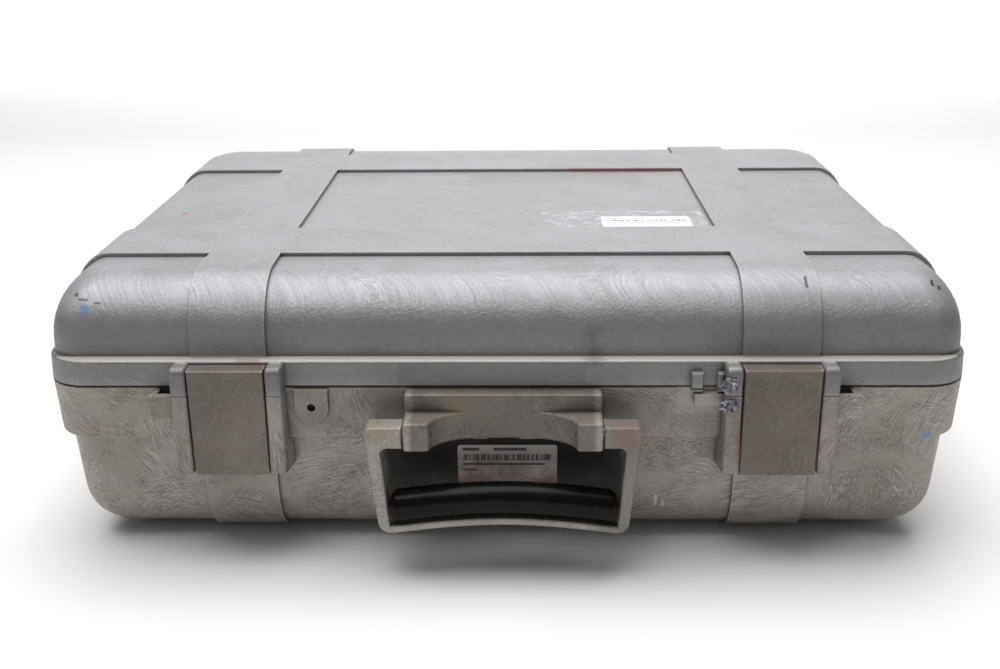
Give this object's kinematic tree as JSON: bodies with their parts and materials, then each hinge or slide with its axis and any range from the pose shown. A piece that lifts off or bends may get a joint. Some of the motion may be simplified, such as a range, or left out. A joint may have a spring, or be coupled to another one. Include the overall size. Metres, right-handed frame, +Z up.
{
  "type": "hard carrying case",
  "caption": "Moulded silver hard carrying case with raised strap bands, a hinged lid, draw latches, a swinging bail handle with a black grip and a pressure release screw.",
  "frame": {"origin": "centre of the box round the whole case on the surface it lies on", "axes": "+Z up with the case lying on its base, the latches and handle face -Y, +X to the right seen from the front"},
  "size_m": [0.47, 0.41, 0.1501],
  "materials": {
    "base_paint": "silver paint on moulded plastic, scuffed in fine swirls, warm and dull",
    "lid_paint": "silver paint on moulded plastic, satin, light handling scuffs",
    "latch_paint": "silver paint on moulded plastic, dirty and worn at the edges",
    "pin_steel": "drawn pin stock",
    "screw_steel": "turned",
    "seal_rubber": "moulded",
    "grip_plastic": "moulded, satin gloss",
    "label_paper": "blank coated label",
    "clear_tape": "clear packing tape"
  },
  "bodies": {
    "base": {"base_shell": "base_paint", "latch_base_pin_left": "pin_steel", "latch_base_pin_right": "pin_steel", "hinge_pin_left": "pin_steel", "hinge_pin_right": "pin_steel", "handle_pin_left": "pin_steel", "handle_pin_right": "pin_steel", "vent_seal": "seal_rubber", "front_label": "label_paper"},
    "lid": {"lid_shell": "lid_paint", "lid_gasket": "seal_rubber", "panel_tape": "clear_tape", "panel_label": "label_paper"},
    "handle": {"handle_bail": "base_paint", "handle_grip": "grip_plastic"},
    "left_link": {"latch_link_left": "latch_paint"},
    "right_link": {"latch_link_right": "latch_paint"},
    "left_lever": {"latch_lever_left": "latch_paint", "latch_lever_pin_left": "pin_steel"},
    "right_lever": {"latch_lever_right": "latch_paint", "latch_lever_pin_right": "pin_steel"},
    "release_screw": {"vent_screw": "screw_steel"}
  },
  "joints": [
    {"name": "lid_hinge", "type": "hinge", "parent": "base", "child": "lid", "pos_m": [0, 0.19948, 0.0973], "axis": [-1, 0, 0], "range_deg": [0, 105]},
    {"name": "handle_swing", "type": "hinge", "parent": "base", "child": "handle", "pos_m": [0, -0.19682, 0.0803], "axis": [-1, 0, 0], "range_deg": [0, 180]},
    {"name": "left_link_swing", "type": "hinge", "parent": "base", "child": "left_link", "pos_m": [-0.1378, -0.18293, 0.0883], "axis": [-1, 0, 0], "range_deg": [0, 95]},
    {"name": "left_lever_swing", "type": "hinge", "parent": "left_link", "child": "left_lever", "pos_m": [-0.1378, -0.18293, 0.0733], "axis": [-1, 0, 0], "range_deg": [-82, 0]},
    {"name": "right_link_swing", "type": "hinge", "parent": "base", "child": "right_link", "pos_m": [0.1378, -0.18293, 0.0883], "axis": [-1, 0, 0], "range_deg": [0, 95]},
    {"name": "right_lever_swing", "type": "hinge", "parent": "right_link", "child": "right_lever", "pos_m": [0.1378, -0.18293, 0.0733], "axis": [-1, 0, 0], "range_deg": [-82, 0]},
    {"name": "release_screw_turn", "type": "hinge", "parent": "base", "child": "release_screw", "pos_m": [-0.0971, -0.17933, 0.0865], "axis": [0, -1, 0], "continuous": true}
  ],
  "couplings": [
    {"joint": "left_lever_swing", "follows": "left_link_swing", "ratio": -0.85},
    {"joint": "right_lever_swing", "follows": "right_link_swing", "ratio": -0.85}
  ]
}
